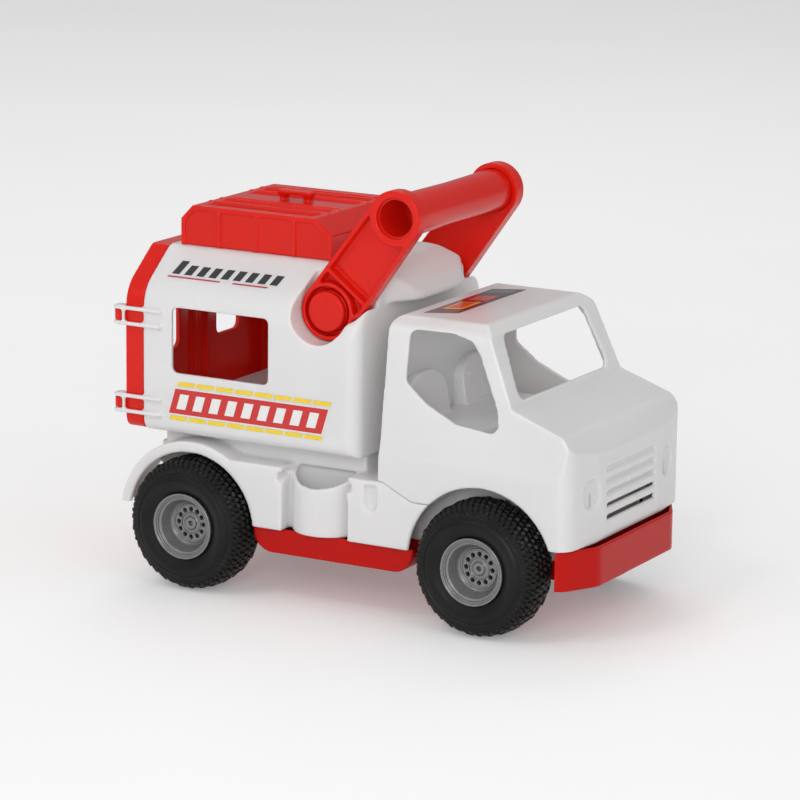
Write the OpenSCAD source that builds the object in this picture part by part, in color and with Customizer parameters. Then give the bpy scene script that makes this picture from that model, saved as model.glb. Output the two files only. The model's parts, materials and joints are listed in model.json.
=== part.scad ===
// Toy ambulance: a moulded play truck with a box body, two hinged rear doors with windows,
// a roof cover, a swinging carry handle, an open cab and four free-rolling wheels.
// Millimetres. +X is forward, +Y is the truck's left, +Z is up.
// The origin is on the ground under the middle of the truck.

/* [Wheels] */
// Distance between the rear and front axles
wheelbase = 208; // [202:1:214]
// How far the rear axle lies behind the middle of the truck
rear_axle_back = 110; // [108:1:112]
// Distance between the middles of the left and right tyres
track = 146; // [144:1:150]
// Tyre radius over the tread blocks, which is also the axle height
tyre_r = 43; // [41.5:0.5:44]
// Tyre width
tyre_w = 36; // [34:1:37]
// Height of the tread blocks above the carcass
tread_h = 1.8; // [1.2:0.2:2.4]
// Number of tread blocks round each row
tread_n = 32; // [26:2:36]
// Width of a tread block along the tread
block_w = 4.8; // [4:0.2:5.6]
// Radius where the tyre grips the rim
bead_r = 20.5; // [19.5:0.5:21.5]
// Wall of the rim's barrel
rim_wall = 2; // [1.6:0.2:2.6]
// Depth of the wheel disc behind the rim's lip
dish_depth = 11; // [9:0.5:13]
// Radius of the circle of holes in the wheel disc
hole_circle_r = 9.1; // [8.6:0.1:9.6]
// Radius of each hole in the wheel disc
disc_hole_r = 1.45; // [1:0.05:1.7]
// Number of holes in the wheel disc
disc_hole_n = 12; // [8:1:14]
// Radius of the steel axles
axle_r = 2.5; // [2:0.1:3]

/* [Chassis] */
// Width over the side skirts
chassis_w = 160; // [158:1:162]
// Height of the deck's top above the ground
deck_z = 88; // [86:1:90]
// Height of the skirts' lower edge above the ground
skirt_z = 47; // [45:1:50]
// Thickness of the chassis walls
chassis_wall = 3; // [2.4:0.2:3.6]
// Radius of the rear wheel arches
rear_arch_r = 46; // [45.5:0.5:47.5]
// Radius of the front wheel arches
front_arch_r = 50; // [48.5:0.5:51]
// Width of the raised band round the rear arches
fender_band = 7; // [5:0.5:8]
// Height of the fender's rear end above the axle
fender_drop = 8; // [5:1:12]
// Gap between the tyres and the channel between them
wheel_clear = 1.5; // [1:0.1:2]
// Half width of the platform that carries the body
platform_half_w = 62; // [58:1:66]
// Radius of the half-round side cups
cup_r = 24; // [22:1:25]
// Middle of the side cups along the truck
cup_x = -19.5; // [-21:0.5:-17]
// Drop of the cup's rim from the deck to its outer edge
cup_rim_drop = 12; // [8:1:15]
// Width of the upright flute beside each cup
flute_w = 9; // [7:0.5:10]

/* [Underbody] */
// Height of the underbody's bottom above the ground
under_z = 31; // [29:1:33]
// Width of the underbody between the wheels
under_w = 152; // [148:1:155]
// Wall of the underbody tray
under_wall = 2.6; // [2:0.2:3.2]
// Radius of the tray's rounded ends
tray_end_r = 14; // [10:1:15]
// Front face of the bumper
bumper_x = 166; // [164:1:170]
// Height of the bumper's top above the ground
bumper_top_z = 60; // [56:1:64]

/* [Body] */
// Width of the box body
body_w = 165; // [162:1:168]
// Length of the box body
body_len = 156; // [152:1:158]
// Front face of the box body
body_front_x = 12.5; // [11.5:0.5:13.5]
// Height of the body's lower edge above the ground
body_z = 100; // [99:1:102]
// Height of the shoulder, where the sides turn in
shoulder_z = 191; // [189:1:193]
// Height of the roof above the ground
roof_z = 216; // [214:1:218]
// Width of the flat roof
roof_w = 102; // [98:1:106]
// Radius of the soft shoulders
shoulder_r = 25; // [18:1:28]
// Radius of the body's lower corners and roof edges
body_edge_r = 8; // [6:0.5:9]
// Wall of the body shell
body_wall = 2.6; // [2.2:0.2:3]
// Height of the load floor's top above the ground
floor_z = 113; // [111:1:116]
// Rear edge of the side window
window_x = -122.4; // [-124:0.2:-120]
// Length of the side window
window_len = 71; // [66:1:74]
// Height of the side window's sill
window_z = 140; // [138:1:143]
// Height of the side window
window_h = 42; // [38:1:44]
// Height of the crown of the hood, which lies ahead of the roof cover
hood_top_z = 219.5; // [218.5:0.5:222]
// Width of the hood's flat crown
hood_top_w = 60; // [54:1:66]
// Height at which the hood's sloping sides meet the body's sides
hood_side_z = 184; // [182:0.5:187]
// Reach of the hood's nose ahead of the body's front face
hood_reach = 15.5; // [12:0.5:17]

/* [Rear doors] */
// Depth of the doors behind the body
door_depth = 13.5; // [12:0.5:14.5]
// Thickness of the door panel and its rim
door_wall = 2.5; // [2:0.1:3]
// Gap between doors and body, and between the two doors
door_gap = 0.5; // [0.4:0.1:0.8]
// Height of the door windows' sill
door_sill_z = 143; // [140:1:146]
// Height of the door windows
door_window_h = 39; // [34:1:42]
// Inner edge of each door window from the middle
door_window_in = 22.5; // [20:0.5:25]
// Width of each door window
door_window_w = 28.5; // [25:0.5:31]
// Height of the lower hinges' middle
hinge_low_z = 116.8; // [115:0.2:119]
// Height of the upper hinges' middle
hinge_high_z = 173.6; // [170:0.2:176]
// Radius of the hinge pins
pin_r = 1.8; // [1.5:0.1:2.1]
// Radius of the hinge barrels
barrel_r = 4.2; // [3.9:0.1:4.3]
// Height of the hinge barrels
barrel_h = 7; // [6:0.5:8]
// Thickness of the fork plates above and below each barrel
fork_t = 2.6; // [2.2:0.2:3]

/* [Roof cover] */
// Length of the roof cover
cover_len = 111; // [106:1:113]
// Front face of the roof cover
cover_front_x = -25; // [-27:0.5:-24]
// Width of the roof cover
cover_w = 100; // [96:1:101]
// Height of the roof cover
cover_h = 26; // [23:0.5:27]
// Wall of the roof cover
cover_wall = 2.4; // [2:0.2:3]
// Number of upright ribs on each side of the cover
cover_ribs = 3; // [2:1:5]

/* [Handle] */
// Length of the handle arms, from pivot to grip
arm_len = 78.5; // [74:0.5:80]
// Lean of the handle forward from upright, as stored
arm_lean = 37; // [30:1:42]
// Pivot's place along the truck
pivot_x = -17.3; // [-18.5:0.1:-16.5]
// Pivot's height above the ground
pivot_z = 188.4; // [187:0.2:190]
// Lean of the handle forward from upright, at its rear stop
arm_lean_back = 13; // [10:1:18]
// Radius of the arm's round lower end
arm_low_r = 18.2; // [17.4:0.2:18.8]
// Reach of the arm's heel ahead of its round lower end
heel_reach = 1.3; // [0.8:0.1:1.8]
// Radius of the ring round the grip
ring_r = 17.4; // [16.6:0.2:18]
// Depth of the arms' outer faces inside the body's sides
arm_inset = 13.7; // [13:0.1:14.5]
// Thickness of the arms
arm_t = 10; // [9:0.2:10.4]
// Thickness of the web between an arm's rims
arm_web = 3; // [2.4:0.2:4]
// Radius of the grip tube
grip_r = 13.7; // [13:0.1:14.2]
// Wall of the grip tube
grip_wall = 2.2; // [1.8:0.2:2.8]
// Radius of the pivot caps
cap_r = 12.7; // [12:0.1:13.2]
// Radius of the pivot caps' shanks
shank_r = 6; // [5:0.1:6.4]
// Gap round the arm's lower end in the body's pocket
pocket_gap = 0.8; // [0.6:0.1:1.4]

/* [Cab] */
// Gap between the body and the cab
cab_gap = 13; // [12:0.5:15]
// Front face of the cab
cab_front_x = 161; // [158:1:163]
// Height of the cab's roof
cab_top_z = 191; // [189:0.5:192]
// Half width of the cab above the wheels
cab_half_w = 79.5; // [78.5:0.5:80]
// Half width of the cab at the roof's edge
cab_roof_half_w = 70.5; // [68:0.5:72]
// Wall of the cab shell
cab_wall = 2.6; // [2.2:0.2:3]
// Top edge of the windscreen along the truck
screen_top_x = 97; // [95:0.5:99]
// Foot of the windscreen along the truck
screen_foot_x = 115; // [113:0.5:117]
// Height of the windscreen's foot
screen_foot_z = 143; // [141:1:146]
// Height of the bonnet's front edge
bonnet_z = 124; // [120:1:128]
// Number of slots in the grille
grille_slots = 5; // [3:1:6]
// Radius of the lamp recesses
lamp_r = 9.5; // [8:0.5:11]
// Middle of the lamp recesses from the middle of the truck
lamp_y = 52; // [48:1:56]
// Height of the lamp recesses
lamp_z = 92; // [86:1:98]

/* [Seats] */
// Half width of the seat bench
seat_half_w = 60; // [54:1:64]
// Height of the seat cushions' top
seat_z = 122; // [116:1:126]
// Depth of the cushions from the backrests to their front edge
cushion_len = 38; // [34:1:40]
// Height of the backrests' top
backrest_z = 166; // [160:1:170]
// Thickness of the backrests at their foot
backrest_t = 16; // [13:1:18]
// Width of each backrest
backrest_w = 50; // [44:1:52]
// Wall of the seat moulding
seat_wall = 3; // [2.4:0.2:3.6]

/* [Screws] */
// Radius of the screws' shanks
screw_r = 1.6; // [1.3:0.1:1.8]
// Radius of the screws' heads
screw_head_r = 3.2; // [2.6:0.1:3.6]
// Thickness of the screws' heads
screw_head_t = 1.8; // [1.4:0.1:2.2]
// Length of the screws that join the underbody to the chassis
under_screw_len = 22; // [18:1:24]
// Length of the screws that join the body to the chassis
body_screw_len = 10; // [8:0.5:11]

/* [Hidden] */

$fn = 64;
eps = 0.01;
right = -1;
left = 1;

// clearances
run_gap = 0.06;
face_gap = 0.3;
seat_gap = 0.02;

// places along the truck
rear_axle_x = -rear_axle_back;
front_axle_x = wheelbase - rear_axle_back;
body_rear_x = body_front_x - body_len;
cab_rear_x = body_front_x + cab_gap;
axle_z = tyre_r;

// half widths
side_y = chassis_w / 2;
body_y = body_w / 2;
under_y = under_w / 2;
cover_y = cover_w / 2;
wheel_y = track / 2;
spine_half_w = wheel_y - tyre_w / 2 - wheel_clear;
arm_out_y = body_y - arm_inset;
arm_in_y = arm_out_y - arm_t;
pocket_y = arm_in_y - 2.8;
hood_x = cover_front_x + face_gap;
hood_front_x = body_front_x + hood_reach;

// hinge axis of the rear doors, just behind the door panels
door_rear_x = body_rear_x - door_depth;
hinge_x = door_rear_x - barrel_r - face_gap;
hinge_y = body_y - 2.5;
hinge_heights = [hinge_low_z, hinge_high_z];
fork_reach = 14;
fork_out = 3;
fork_gap = 0.25;

// wheel details
carcass_r = tyre_r - tread_h;
lip_r = bead_r + 0.8;
lip_z = tyre_w / 2 - 0.7;
disc_z = lip_z - dish_depth;
disc_t = 3.3;
hub_r = 5.6;
hub_in_y = spine_half_w + 0.5;
axle_half_len = wheel_y + disc_z - 3.8;

// side window and door window corners
window_r = 4;
door_window_r = 5;

// lamp recesses, and the angle at which the cab's front bows back
lamp_depth = 1;
cab_bow = 6.8;

// middle of the cup, which stands 2 mm proud of the skirt
cup_mid_y = side_y + 2 - cup_r;
cup_wall = 2.4;

// heel of the arms: where it leaves the round end, and how far up the arm it lies
heel_a = 22;
heel_z = 13.4;

// the grip's place
grip_x = pivot_x + arm_len * sin(arm_lean);
grip_z = pivot_z + arm_len * cos(arm_lean);

// screw places, as [x, y]
under_screws = [
  [-88, 30], [-88, -30], [-55, 64], [-55, -64], [34, 64], [34, -64], [76, 30], [76, -30],
];
body_screw_places = [[-118, 36], [-118, -36], [-12, 36], [-12, -36]];
body_boss_r = screw_r + 2.4;
body_boss_z = deck_z + 15.2;
body_seat_z = body_boss_z - 3.2;
bearing_r = 8;

// ---------- shared shapes ----------

// A 2D outline with its outer corners rounded.
module rounded(r) {
  offset(r = r) offset(delta = -r) children();
}

// Extrudes an outline drawn in X and Z along Y, from y0 to y1.
module along_y(y0, y1) {
  translate([0, y1, 0]) rotate([90, 0, 0]) linear_extrude(height = y1 - y0) children();
}

// Extrudes an outline drawn in Y and Z along X, from x0 to x1.
module along_x(x0, x1) {
  translate([x0, 0, 0]) rotate([90, 0, 90]) linear_extrude(height = x1 - x0) children();
}

// A round bar along Y, from y0 to y1.
module bar_y(r, y0, y1) {
  translate([0, y0, 0]) rotate([-90, 0, 0]) cylinder(r = r, h = y1 - y0);
}

// A box given by its lowest and highest corners.
module block(a, b) {
  translate(a) cube(b - a);
}

// Draws its children on the side named, which were made for the left.
module on_side(side) {
  if (side == left) children();
  else mirror([0, 1, 0]) children();
}

// ---------- wheels ----------

// Half of the tyre's section, as [radius, distance from the middle].
function tyre_section() = let (h = tyre_w / 2, c = carcass_r) [
  [bead_r + seat_gap, 1 - h], [bead_r + 5, 2 - h], [bead_r + 6.5, 0.3 - h], [c - 7.5, -h],
  [c - 5.5, 0.8 - h], [c - 2.2, 2.6 - h], [c - 0.5, 5.2 - h], [c, 8 - h],
  [c, h - 8], [c - 0.5, h - 5.2], [c - 2.2, h - 2.6], [c - 5.5, h - 0.8],
  [c - 7.5, h], [bead_r + 6.5, h - 0.3], [bead_r + 5, h - 2.2], [lip_r + 0.4, h - 2.6],
  [bead_r + seat_gap, h - 2.6],
];

// A block of the outer tread rows: it wraps over the tyre's shoulder.
module shoulder_block() {
  h = tyre_w / 2;
  rotate([90, 0, 0])
    translate([0, 0, -block_w / 2])
    linear_extrude(height = block_w)
    polygon([
      [carcass_r - 5, h - 4], [carcass_r - 3.4, h - 0.4], [tyre_r - 2.6, h - 1.6],
      [tyre_r, h - 5], [tyre_r, h - 12.5], [carcass_r - 1.5, h - 12.5],
    ]);
}

// A block of the middle tread row.
module middle_block() {
  w = block_w * 0.9;
  half = tyre_w / 2 - 14;
  translate([carcass_r - 1.5, -w / 2, -half]) cube([tyre_r - carcass_r + 1.5, w, 2 * half]);
}

module tyre_shape() {
  rotate_extrude($fn = 96) polygon(tyre_section());
  for (i = [0:tread_n - 1]) {
    a = 90 + i * 360 / tread_n;
    rotate([0, 0, a]) shoulder_block();
    rotate([0, 0, a]) mirror([0, 0, 1]) shoulder_block();
    rotate([0, 0, a + 180 / tread_n]) middle_block();
  }
}

module rim_shape() {
  back = -(wheel_y - hub_in_y);
  difference() {
    rotate_extrude($fn = 96) polygon([
      [axle_r + seat_gap, back], [hub_r, back], [hub_r, disc_z - disc_t],
      [13.6, disc_z - disc_t], [bead_r - rim_wall, lip_z - 5.5],
      [bead_r - rim_wall, 3 - tyre_w / 2], [bead_r, 3 - tyre_w / 2], [bead_r, lip_z - 1.7],
      [lip_r, lip_z - 1.7], [lip_r, lip_z], [lip_r - 1.4, lip_z], [lip_r - 1.4, lip_z - 0.9],
      [lip_r - 2.8, lip_z - 0.9], [lip_r - 2.8, lip_z - 2.6], [bead_r - rim_wall - 1.4, lip_z - 2.6],
      [14.4, disc_z + 1.2], [13.2, disc_z], [7, disc_z], [6.5, disc_z - 0.8], [4.6, disc_z - 0.8],
      [4.2, disc_z - 0.2], [axle_r + seat_gap, disc_z - 0.2],
    ]);
    for (i = [0:disc_hole_n - 1]) {
      rotate([0, 0, i * 360 / disc_hole_n])
        translate([hole_circle_r, 0, disc_z - disc_t - 1])
        cylinder(r = disc_hole_r, h = disc_t + 2, $fn = 24);
    }
  }
}

// Puts a wheel piece, drawn with its outer face up, on an axle.
module at_wheel(side, axle_x) {
  translate([axle_x, side * wheel_y, axle_z]) rotate([-90 * side, 0, 0]) children();
}

module tyre(side, axle_x) {
  color([0.08, 0.08, 0.075]) at_wheel(side, axle_x) tyre_shape();
}

module rim(side, axle_x) {
  color([0.5, 0.52, 0.55]) at_wheel(side, axle_x) rim_shape();
}

module axle(axle_x) {
  color([0.75, 0.76, 0.78])
    translate([axle_x, 0, axle_z]) bar_y(axle_r, -axle_half_len, axle_half_len);
}

// ---------- chassis ----------

// Outline of the side skirt with the rear fender, in X and Z.
module skirt_outline() {
  diag_x = front_axle_x - 48.5;
  difference() {
    union() {
      intersection() {
        translate([rear_axle_x, axle_z]) circle(r = rear_arch_r + fender_band, $fn = 128);
        translate([rear_axle_x - 80, axle_z + fender_drop]) square([160, 80]);
      }
      polygon([
        [rear_axle_x, skirt_z], [front_axle_x, skirt_z], [front_axle_x, deck_z - 10],
        [diag_x, deck_z - 10], [cab_rear_x + 4, deck_z], [rear_axle_x, deck_z],
      ]);
    }
    translate([rear_axle_x, axle_z]) circle(r = rear_arch_r, $fn = 128);
    translate([front_axle_x, axle_z]) circle(r = front_arch_r, $fn = 128);
  }
}

// Outline of the rear fender's skin, in X and Z.
module fender_outline() {
  intersection() {
    difference() {
      translate([rear_axle_x, axle_z]) circle(r = rear_arch_r + fender_band, $fn = 128);
      translate([rear_axle_x, axle_z])
        circle(r = rear_arch_r + fender_band - chassis_wall, $fn = 128);
    }
    translate([rear_axle_x - 80, axle_z + fender_drop]) square([160, 80]);
  }
}

// The side cup's outer bulge, or its hollow when shrunk by a wall.
module cup_form(wall) {
  translate([cup_x, cup_mid_y, skirt_z + wall + 0.01])
    cylinder(r = cup_r - wall, h = deck_z - skirt_z, $fn = 96);
}

// Everything above the cup's sloping rim.
module above_cup_rim() {
  slope_y = cup_mid_y + 2;
  along_x(cup_x - cup_r - 3, cup_x + cup_r + 3)
    polygon([
      [slope_y, deck_z], [side_y + 4, deck_z - cup_rim_drop], [side_y + 4, deck_z + 5],
      [slope_y, deck_z + 5],
    ]);
}

// The left half's skirt, fender, cup and flute.
module chassis_side() {
  recess_x0 = cup_x - cup_r + 0.5;
  recess_x1 = cup_x + cup_r + 0.5;
  flute_x = cup_x + cup_r + 16.7;
  difference() {
    union() {
      difference() {
        along_y(side_y - chassis_wall, side_y) skirt_outline();
        block([recess_x0, side_y - 20, skirt_z - 1], [recess_x1, side_y + 1, deck_z + 1]);
      }
      along_y(spine_half_w - chassis_wall, side_y) fender_outline();
      // wall behind the cup, closed at its two ends against the skirt
      block([recess_x0 - 2, cup_mid_y - 1.5, skirt_z], [recess_x1 + 2, cup_mid_y + 1, deck_z]);
      block([recess_x0 - 2, cup_mid_y, skirt_z], [recess_x0, side_y - 1, deck_z]);
      block([recess_x1, cup_mid_y, skirt_z], [recess_x1 + 2, side_y - 1, deck_z]);
      // body of the flute
      block([flute_x - flute_w, side_y - 9, skirt_z + 18], [cab_rear_x + 4, side_y, deck_z]);
      intersection() {
        cup_form(0);
        block([recess_x0 - 1, cup_mid_y, skirt_z], [recess_x1 + 1, side_y + 3, deck_z]);
      }
    }
    intersection() {
      cup_form(cup_wall);
      block([recess_x0 - 1, cup_mid_y + 1, skirt_z], [recess_x1 + 1, side_y + 3, deck_z + 5]);
    }
    above_cup_rim();
    translate([flute_x, side_y, skirt_z + 26]) cylinder(r = flute_w / 2, h = 40, $fn = 48);
    translate([flute_x, side_y, skirt_z + 26]) sphere(r = flute_w / 2, $fn = 48);
  }
}

// Deck, with the wheel wells and the openings over the cups cut out.
module chassis_deck() {
  difference() {
    union() {
      block(
        [rear_axle_x + 20, 0.5 - side_y, deck_z - chassis_wall],
        [cab_rear_x, side_y - 0.5, deck_z]
      );
      block(
        [cab_rear_x - 1, cab_wall + 0.4 - cab_half_w, deck_z - chassis_wall],
        [front_axle_x - 20, cab_half_w - cab_wall - 0.4, deck_z]
      );
    }
    for (side = [right, left]) {
      on_side(side) {
        translate([front_axle_x, 0, axle_z])
          bar_y(front_arch_r + cab_wall + face_gap, spine_half_w, side_y + 1);
        translate([rear_axle_x, 0, axle_z])
          bar_y(rear_arch_r, spine_half_w, side_y + 1);
        block(
          [cup_x - cup_r + 0.5, cup_mid_y + 1, deck_z - 10],
          [cup_x + cup_r + 0.5, side_y + 1, deck_z + 1]
        );
        // narrow slot behind the cup
        block([cup_x - 15, cup_mid_y - 5, deck_z - 10], [cup_x + 17, cup_mid_y - 3.4, deck_z + 1]);
      }
    }
  }
}

// Channel between the wheels, open below, with the bosses for the screws.
module chassis_spine() {
  x0 = rear_axle_x - 38;
  x1 = front_axle_x + 44;
  low = skirt_z + 0.05;
  difference() {
    block([x0, -spine_half_w, low], [x1, spine_half_w, deck_z]);
    for (x = [rear_axle_x, front_axle_x]) {
      translate([x, 0, axle_z]) bar_y(bearing_r + 0.3, -spine_half_w - 1, spine_half_w + 1);
    }
    block(
      [x0 + chassis_wall, chassis_wall - spine_half_w, low - 1],
      [x1 - chassis_wall, spine_half_w - chassis_wall, deck_z - chassis_wall]
    );
  }
}

// Raised platform inside the body's skirt.
module chassis_platform() {
  difference() {
    block(
      [body_rear_x + 4, -platform_half_w, deck_z - 1],
      [body_front_x - 4, platform_half_w, floor_z - body_wall]
    );
    block(
      [body_rear_x + 7, chassis_wall - platform_half_w, deck_z - 2],
      [body_front_x - 7, platform_half_w - chassis_wall, floor_z - body_wall - chassis_wall]
    );
  }
}

module chassis() {
  boss_r = screw_head_r + 1.4;
  under_boss_z = skirt_z + 1;
  color([0.87, 0.87, 0.87]) difference() {
    union() {
      for (side = [right, left]) on_side(side) chassis_side();
      chassis_deck();
      chassis_spine();
      chassis_platform();
      for (p = under_screws) {
        translate([p[0], p[1], under_boss_z]) cylinder(r = boss_r, h = deck_z - under_boss_z - 1);
      }
      for (p = body_screw_places) {
        translate([p[0], p[1], deck_z - 1])
          cylinder(r = body_boss_r + 2, h = floor_z - body_wall - deck_z);
      }
    }
    // pilot holes of the underbody's screws
    for (p = under_screws) {
      translate([p[0], p[1], under_boss_z - 1]) cylinder(r = screw_r + seat_gap, h = 13);
    }
    // clearance holes of the body's screws, open to the channel below
    for (p = body_screw_places) {
      translate([p[0], p[1], deck_z - 10]) cylinder(r = screw_r + 0.2, h = 40);
      translate([p[0], p[1], deck_z - 10])
        cylinder(r = screw_head_r + 0.4, h = body_seat_z - deck_z + 10);
      translate([p[0], p[1], body_boss_z]) cylinder(r = body_boss_r + 0.2, h = 20);
    }
  }
}

// ---------- underbody ----------

// Side outline of the tray between the wheels, grown or shrunk by d.
module tray_outline(d) {
  x0 = rear_axle_x + rear_arch_r - 1.6;
  x1 = front_axle_x - front_arch_r + 1.6;
  offset(delta = d) intersection() {
    rounded(tray_end_r) translate([x0, under_z]) square([x1 - x0, 2 * (skirt_z - under_z)]);
    translate([x0 - 1, under_z - 1]) square([x1 - x0 + 2, skirt_z - under_z + 1]);
  }
}

// Plan of the front bumper, shrunk by d.
module bumper_plan(d) {
  x0 = front_axle_x + front_arch_r + 0.5;
  y = side_y - 1;
  intersection() {
    offset(delta = -d) rounded(16) polygon([
      [x0 - 60, -y], [bumper_x - 14, -y], [bumper_x, -52], [bumper_x, 52], [bumper_x - 14, y],
      [x0 - 60, y],
    ]);
    translate([x0 + d, -y]) square([80, 2 * y]);
  }
}

module underbody() {
  spine_in = spine_half_w - chassis_wall - 0.2;
  spine_top = axle_z + 10.8;
  low = under_z + 3;
  color([0.75, 0.1, 0.08]) difference() {
    union() {
      // tray between the wheels
      difference() {
        along_y(-under_y, under_y) tray_outline(0);
        along_y(under_wall - under_y, under_y - under_wall)
          translate([0, under_wall + 0.01]) tray_outline(-under_wall);
        block([rear_axle_x, under_wall - under_y, skirt_z - 4], [front_axle_x, under_y - under_wall, skirt_z + 1]);
      }
      // narrow floor that runs from end to end under the channel
      difference() {
        block([rear_axle_x - 38, -spine_in, low], [front_axle_x + 56, spine_in, skirt_z]);
        block(
          [rear_axle_x - 38 + under_wall, under_wall - spine_in, low + under_wall],
          [front_axle_x + 52, spine_in - under_wall, skirt_z + 1]
        );
      }
      // axle bearings
      for (x = [rear_axle_x, front_axle_x], side = [right, left]) on_side(side) {
        block([x - bearing_r, spine_half_w - 12, low], [x + bearing_r, spine_half_w, axle_z]);
        translate([x, 0, axle_z]) bar_y(bearing_r, spine_half_w - 12, spine_half_w);
      }
      // bumper
      difference() {
        translate([0, 0, under_z + 4]) linear_extrude(height = bumper_top_z - under_z - 4) bumper_plan(0);
        translate([0, 0, under_z + 4 + under_wall])
          linear_extrude(height = bumper_top_z - under_z) bumper_plan(under_wall);
      }
      // pillars up to the chassis bosses
      for (p = under_screws) {
        translate([p[0], p[1], low]) cylinder(r = screw_head_r + 2, h = skirt_z + 1 - low);
      }
    }
    for (x = [rear_axle_x, front_axle_x]) {
      translate([x, 0, axle_z]) bar_y(axle_r + run_gap, -spine_half_w - 1, spine_half_w + 1);
    }
    for (p = under_screws) {
      translate([p[0], p[1], under_z - 1]) cylinder(r = screw_r + 0.2, h = 30);
      translate([p[0], p[1], under_z - 1]) cylinder(r = screw_head_r + 0.3, h = 6.5);
    }
  }
}

// A cross-head screw with its head's face at the origin, pointing up.
module screw(len) {
  difference() {
    union() {
      cylinder(r = screw_head_r, h = screw_head_t);
      cylinder(r = screw_r, h = len);
    }
    for (a = [0, 90]) {
      rotate([0, 0, a]) translate([-screw_head_r * 0.6, -0.4, -1]) cube([screw_head_r * 1.2, 0.8, 2]);
    }
  }
}

module underbody_screws() {
  color([0.6, 0.6, 0.62]) for (p = under_screws) {
    translate([p[0], p[1], under_z + 3.7]) screw(under_screw_len);
  }
}

module body_screws() {
  color([0.6, 0.6, 0.62]) for (p = body_screw_places) {
    translate([p[0], p[1], body_seat_z - screw_head_t]) screw(body_screw_len);
  }
}

// ---------- cab ----------

// Side outline of the cab, in X and Z.
module cab_side_outline() {
  difference() {
    rounded(7) polygon([
      [cab_rear_x, deck_z - 30], [cab_rear_x + 2.6, cab_top_z], [screen_top_x - 5, cab_top_z],
      [screen_top_x + 1, cab_top_z - 5], [screen_foot_x + 1, screen_foot_z],
      [cab_front_x - 9, bonnet_z + 6], [cab_front_x, bonnet_z - 8], [cab_front_x + 1.5, deck_z - 30],
    ]);
    translate([front_axle_x, axle_z]) circle(r = front_arch_r, $fn = 128);
    polygon([
      [cab_rear_x - 5, deck_z - 40], [front_axle_x, deck_z - 40], [front_axle_x, deck_z - 9.8],
      [front_axle_x - 48.5, deck_z - 9.8], [cab_rear_x + 4, deck_z + 0.2], [cab_rear_x - 5, deck_z + 0.2],
    ]);
    translate([front_axle_x, 0]) square([100, bumper_top_z + 0.2]);
  }
}

// Front outline of the cab, in Y and Z.
module cab_front_outline() {
  w = cab_half_w;
  rounded(9) polygon([
    [-w, 40], [w, 40], [w, 106], [w - 1.8, 114], [cab_roof_half_w, cab_top_z - 6],
    [cab_roof_half_w - 9, cab_top_z], [9 - cab_roof_half_w, cab_top_z],
    [-cab_roof_half_w, cab_top_z - 6], [1.8 - w, 114], [-w, 106],
  ]);
}

// Plan of the cab, in X and Y.
module cab_plan() {
  w = cab_half_w + 1;
  rounded(12) polygon([
    [cab_rear_x - 20, -w], [cab_front_x - 4, -w], [cab_front_x + 2, -30], [cab_front_x + 2, 30],
    [cab_front_x - 4, w], [cab_rear_x - 20, w],
  ]);
}

// The cab's outer form, shrunk all round by d.
module cab_form(d) {
  intersection() {
    along_y(-cab_half_w, cab_half_w) offset(delta = -d) cab_side_outline();
    along_x(cab_rear_x - 5, cab_front_x + 5) offset(delta = -d) cab_front_outline();
    linear_extrude(height = cab_top_z + 5) offset(delta = -d) cab_plan();
  }
}

// Outline of the side window, in X and Z.
module cab_window_outline() {
  rounded(5) polygon([
    [43, 184], [72, 184.6], [86, 181.5], [92, 174], [106, 142], [107.5, 131], [104, 127],
    [78, 130], [57, 140], [42, 152],
  ]);
}

module windscreen_outline() {
  rounded(6) polygon([[-61, 146], [61, 146], [54, 184.5], [-54, 184.5]]);
}

module cab() {
  color([0.88, 0.88, 0.88]) difference() {
    cab_form(0);
    difference() {
      cab_form(cab_wall);
      // the front panel and rear wall keep their foot
      block([cab_rear_x - 1, -90, 40], [cab_rear_x + 5, 90, deck_z + 2]);
    }
    // open underside
    block([cab_rear_x + cab_wall, -spine_half_w, 40], [cab_front_x - cab_wall, spine_half_w, deck_z + 5]);
    block([cab_rear_x + cab_wall, cab_wall - cab_half_w, 40], [front_axle_x - 38, cab_half_w - cab_wall, deck_z + 5]);
    along_y(-90, 90) cab_window_outline();
    along_x(screen_top_x - 14, cab_front_x - 20) windscreen_outline();
    // grille slots and lamp recesses in the front panel
    for (i = [0:grille_slots - 1]) {
      z = 72 + i * 38 / grille_slots;
      block([cab_front_x - 1.2, -34, z], [cab_front_x + 6, 34, z + 3.4]);
    }
    for (side = [right, left]) {
      on_side(side) translate([cab_front_x - lamp_depth - 1, lamp_y, lamp_z])
        rotate([0, 90, cab_bow]) cylinder(r = lamp_r, h = 12);
    }
  }
}

// Front outline of one backrest, in Y and Z, with its rounded top.
module backrest_outline() {
  y0 = seat_half_w - backrest_w;
  rounded(backrest_w / 2 - 4) translate([y0, seat_z - 30])
    square([backrest_w, backrest_z - seat_z + 30]);
}

module cab_seat() {
  x = cab_rear_x + 8;
  front_x = x + backrest_t + cushion_len;
  color([0.84, 0.84, 0.84]) difference() {
    union() {
      // bench
      along_y(-seat_half_w, seat_half_w) rounded(4) polygon([
        [x, deck_z + 0.1], [x, seat_z], [front_x - 4, seat_z + 2], [front_x, seat_z - 6],
        [front_x - 4, deck_z + 0.1],
      ]);
      // backrests
      for (side = [right, left]) on_side(side) intersection() {
        along_x(x, x + backrest_t) backrest_outline();
        along_y(0, seat_half_w) rounded(3) polygon([
          [x, seat_z - 20], [x, backrest_z], [x + 9, backrest_z], [x + backrest_t, seat_z],
          [x + backrest_t, seat_z - 20],
        ]);
      }
    }
    block(
      [x + seat_wall, seat_wall - seat_half_w, deck_z - 1],
      [front_x - 4 - seat_wall, seat_half_w - seat_wall, seat_z - 2 * seat_wall]
    );
    translate([front_axle_x, 0, axle_z]) bar_y(front_arch_r + cab_wall + 0.6, -90, 90);
  }
}

// ---------- body ----------

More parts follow.
